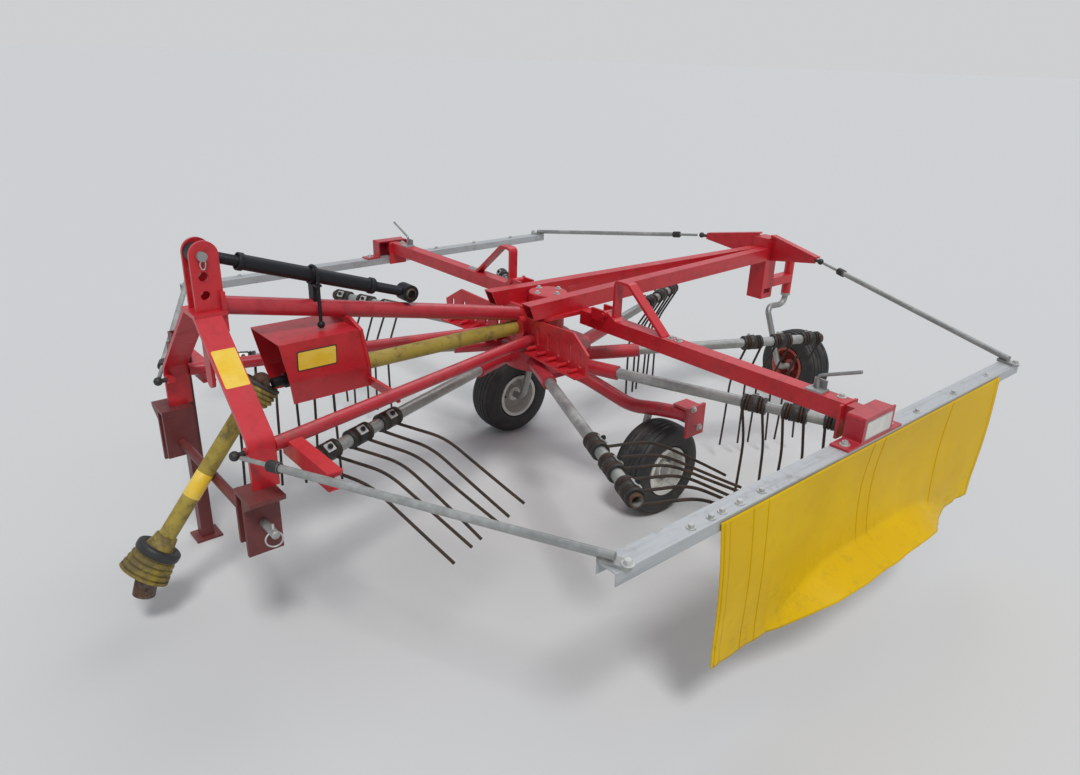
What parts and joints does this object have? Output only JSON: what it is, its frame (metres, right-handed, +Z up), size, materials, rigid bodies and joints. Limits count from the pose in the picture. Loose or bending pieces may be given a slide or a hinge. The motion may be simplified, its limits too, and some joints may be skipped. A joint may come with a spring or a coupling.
{
  "type": "single-rotor rotary rake",
  "caption": "Mounted rotary rake on three small wheels, with sprung tines on radial arms, side guard bars, a swath curtain, a three-point headstock and a guarded drive shaft.",
  "frame": {"origin": "middle of the machine's bounding box at ground level", "axes": "+X forward to the tractor, +Y to the machine's left, where the curtain is, +Z up"},
  "size_m": [3.1254, 2.5536, 1.0779],
  "materials": {
    "red_paint": "weathered signal red paint",
    "dark_red_paint": "dull oxide red paint",
    "zinc": "hot-dip galvanised, weathered",
    "pale_bar": "dull light grey",
    "black_steel": "black, semi-gloss, worn",
    "guard_yellow": "faded plastic",
    "curtain_yellow": "coated cloth, slight sheen",
    "tyre_rubber": "ribbed, dusty",
    "rim_pale": "white grey paint, dirty",
    "rim_red": "faded red paint",
    "tine_steel": "spring steel with brown rust"
  },
  "bodies": {
    "frame": {"headstock": "red_paint", "lower_hitch": "dark_red_paint", "hitch_pins": "zinc", "stand_sleeve": "dark_red_paint", "mast_pin": "zinc", "stay_rod": "black_steel", "frame_tubes": "red_paint", "carrier_plate": "red_paint", "guard_box": "red_paint", "shaft_guard": "guard_yellow", "input_shaft": "black_steel", "gearbox": "red_paint", "arm_racks": "red_paint", "arm_holders": "red_paint", "rear_beams": "red_paint", "crosshead": "red_paint", "link_clamps": "black_steel", "axle": "red_paint", "wheel_cranks": "zinc", "guard_stubs": "red_paint"},
    "rotor": {"rotor_hub": "red_paint", "tine_arms": "zinc", "tines": "tine_steel"},
    "left_wheel": {"left_tyre": "tyre_rubber", "left_rim": "rim_pale"},
    "right_wheel": {"right_tyre": "tyre_rubber", "right_rim": "rim_pale"},
    "castor": {"castor_crank": "zinc"},
    "rear_wheel": {"rear_tyre": "tyre_rubber", "rear_rim": "rim_red"},
    "stand": {"parking_stand": "dark_red_paint"},
    "upper_link": {"top_link": "black_steel"},
    "drive_shaft": {"drive_guard": "guard_yellow", "upper_bell": "guard_yellow", "drive_yokes": "zinc"},
    "left_guard": {"left_guard_arm": "red_paint"},
    "left_slide": {"left_hat": "red_paint", "left_bar": "pale_bar", "left_links": "zinc", "curtain": "curtain_yellow"},
    "right_guard": {"right_guard_arm": "red_paint"},
    "right_slide": {"right_hat": "red_paint", "right_bar": "pale_bar", "right_links": "zinc"}
  },
  "joints": [
    {"name": "rotor_spin", "type": "hinge", "parent": "frame", "child": "rotor", "pos_m": [0.05152, -0.02047, 0.535], "axis": [0, 0, 1], "continuous": true},
    {"name": "left_wheel_spin", "type": "hinge", "parent": "frame", "child": "left_wheel", "pos_m": [-0.12348, 0.40753, 0.172], "axis": [0, 1, 0], "continuous": true},
    {"name": "right_wheel_spin", "type": "hinge", "parent": "frame", "child": "right_wheel", "pos_m": [-0.12348, -0.44847, 0.172], "axis": [0, 1, 0], "continuous": true},
    {"name": "castor_swivel", "type": "hinge", "parent": "frame", "child": "castor", "pos_m": [-1.49848, -0.02047, 0.446], "axis": [0, 0, 1], "continuous": true},
    {"name": "rear_wheel_spin", "type": "hinge", "parent": "castor", "child": "rear_wheel", "pos_m": [-1.47625, 0.10559, 0.172], "axis": [0.9848, -0.1736, 0], "continuous": true},
    {"name": "stand_slide", "type": "slide", "parent": "frame", "child": "stand", "axis": [0, 0, 1], "range_m": [0, 0.3]},
    {"name": "top_link_lift", "type": "hinge", "parent": "frame", "child": "upper_link", "pos_m": [1.25252, -0.02047, 1.041], "axis": [0, 1, 0], "range_deg": [0, 120]},
    {"name": "drive_shaft_lift", "type": "hinge", "parent": "frame", "child": "drive_shaft", "pos_m": [1.12152, -0.02047, 0.66], "axis": [0, 1, 0], "range_deg": [-40, 0]},
    {"name": "left_guard_fold", "type": "hinge", "parent": "frame", "child": "left_guard", "pos_m": [-0.01348, 0.23553, 0.7245], "axis": [1, 0, 0], "range_deg": [0, 90]},
    {"name": "left_guard_slide", "type": "slide", "parent": "left_guard", "child": "left_slide", "axis": [0, 1, 0], "range_m": [0, 0.3]},
    {"name": "right_guard_fold", "type": "hinge", "parent": "frame", "child": "right_guard", "pos_m": [-0.01348, -0.27647, 0.7245], "axis": [-1, 0, 0], "range_deg": [0, 90]},
    {"name": "right_guard_slide", "type": "slide", "parent": "right_guard", "child": "right_slide", "axis": [0, -1, 0], "range_m": [0, 0.3]}
  ]
}
